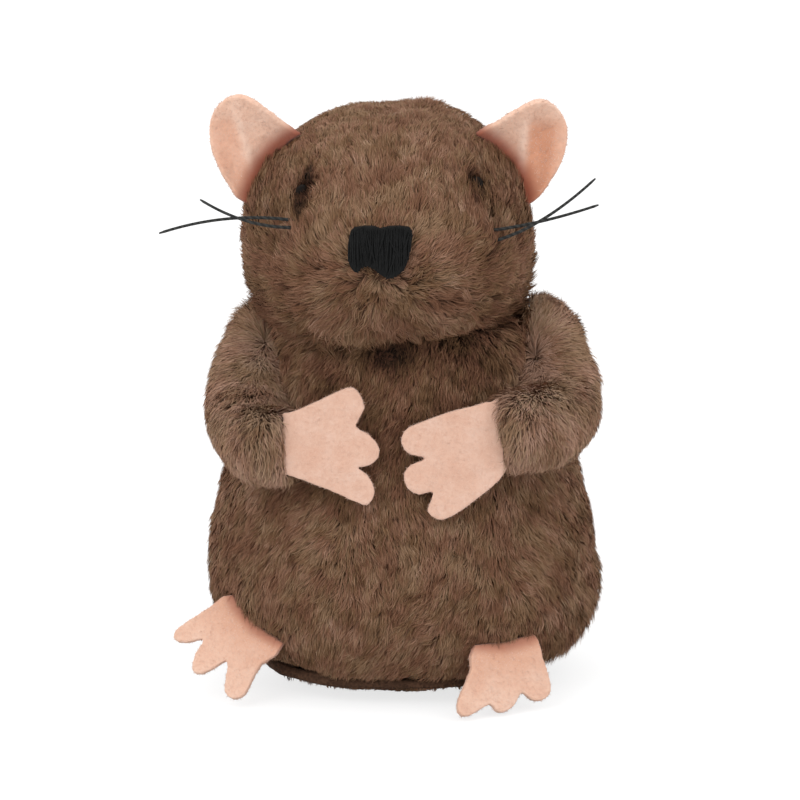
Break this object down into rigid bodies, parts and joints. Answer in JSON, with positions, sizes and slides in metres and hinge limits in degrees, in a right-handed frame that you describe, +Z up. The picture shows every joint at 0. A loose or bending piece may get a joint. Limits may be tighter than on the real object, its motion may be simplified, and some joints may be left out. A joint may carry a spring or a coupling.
{
  "type": "plush mole cat toy",
  "caption": "Soft plush mole for a cat to bat and carry, sitting upright on a flat base, with felt ears, paws and feet, thread whiskers and a scented filling.",
  "frame": {"origin": "centre of the flat of the base, where the toy rests", "axes": "+Z up, the face and belly look towards -Y, +X towards the toy's own left"},
  "size_m": [0.1091, 0.0874, 0.1498],
  "materials": {
    "plush": "long brown pile",
    "felt": "matt needle felt",
    "wadding": "loose white fibre",
    "canvas": "plain woven cloth",
    "black_thread": "satin stitches",
    "grey_thread": "stiff waxed thread",
    "bead": "polished"
  },
  "bodies": {
    "body": {"body_cover": "plush", "base_panel": "plush", "body_wadding": "wadding", "scent_sachet": "canvas"},
    "head": {"head_cover": "plush", "head_wadding": "wadding", "nose": "black_thread", "right_eye": "bead", "left_eye": "bead", "right_upper_whisker": "grey_thread", "right_lower_whisker": "grey_thread", "left_upper_whisker": "grey_thread", "left_lower_whisker": "grey_thread"},
    "right_ear_flap": {"right_ear": "felt"},
    "left_ear_flap": {"left_ear": "felt"},
    "right_arm": {"right_arm_sleeve": "plush", "right_arm_wadding": "wadding"},
    "left_arm": {"left_arm_sleeve": "plush", "left_arm_wadding": "wadding"},
    "right_hand": {"right_paw": "felt"},
    "left_hand": {"left_paw": "felt"},
    "right_foot_flap": {"right_foot": "felt"},
    "left_foot_flap": {"left_foot": "felt"}
  },
  "joints": [
    {"name": "head_turn", "type": "hinge", "parent": "body", "child": "head", "pos_m": [-0.0035, 0, 0.095], "axis": [0, 0, 1], "range_deg": [-25, 25], "stiffness_Nm_per_rad": 0.03},
    {"name": "right_arm_swing", "type": "hinge", "parent": "body", "child": "right_arm", "pos_m": [-0.0342, 0.01005, 0.08379], "axis": [0, 0, -1], "range_deg": [0, 35], "stiffness_Nm_per_rad": 0.02},
    {"name": "left_arm_swing", "type": "hinge", "parent": "body", "child": "left_arm", "pos_m": [0.03444, 0.01005, 0.0855], "axis": [0, 0, 1], "range_deg": [0, 35], "stiffness_Nm_per_rad": 0.02},
    {"name": "right_paw_fold", "type": "hinge", "parent": "right_arm", "child": "right_hand", "pos_m": [-0.0288, -0.04033, 0.0692], "axis": [0.0208, -0.1715, -0.985], "range_deg": [0, 40], "stiffness_Nm_per_rad": 0.002},
    {"name": "left_paw_fold", "type": "hinge", "parent": "left_arm", "child": "left_hand", "pos_m": [0.02394, -0.03994, 0.07208], "axis": [-0.1011, 0.184, 0.9777], "range_deg": [0, 40], "stiffness_Nm_per_rad": 0.002},
    {"name": "right_foot_fold", "type": "hinge", "parent": "body", "child": "right_foot_flap", "pos_m": [-0.03807, -0.02767, 0.0191], "axis": [-0.6438, 0.5558, 0.5259], "range_deg": [0, 45], "stiffness_Nm_per_rad": 0.002},
    {"name": "left_foot_fold", "type": "hinge", "parent": "body", "child": "left_foot_flap", "pos_m": [0.0258, -0.03554, 0.01558], "axis": [-0.8742, -0.4731, -0.109], "range_deg": [0, 45], "stiffness_Nm_per_rad": 0.002},
    {"name": "right_ear_flop", "type": "hinge", "parent": "head", "child": "right_ear_flap", "pos_m": [-0.03399, -0.00264, 0.13124], "axis": [0.5092, 0.0599, 0.8586], "range_deg": [-15, 15], "stiffness_Nm_per_rad": 0.002},
    {"name": "left_ear_flop", "type": "hinge", "parent": "head", "child": "left_ear_flap", "pos_m": [0.02715, -0.00266, 0.131], "axis": [-0.4221, 0.0603, 0.9045], "range_deg": [-15, 15], "stiffness_Nm_per_rad": 0.002}
  ]
}
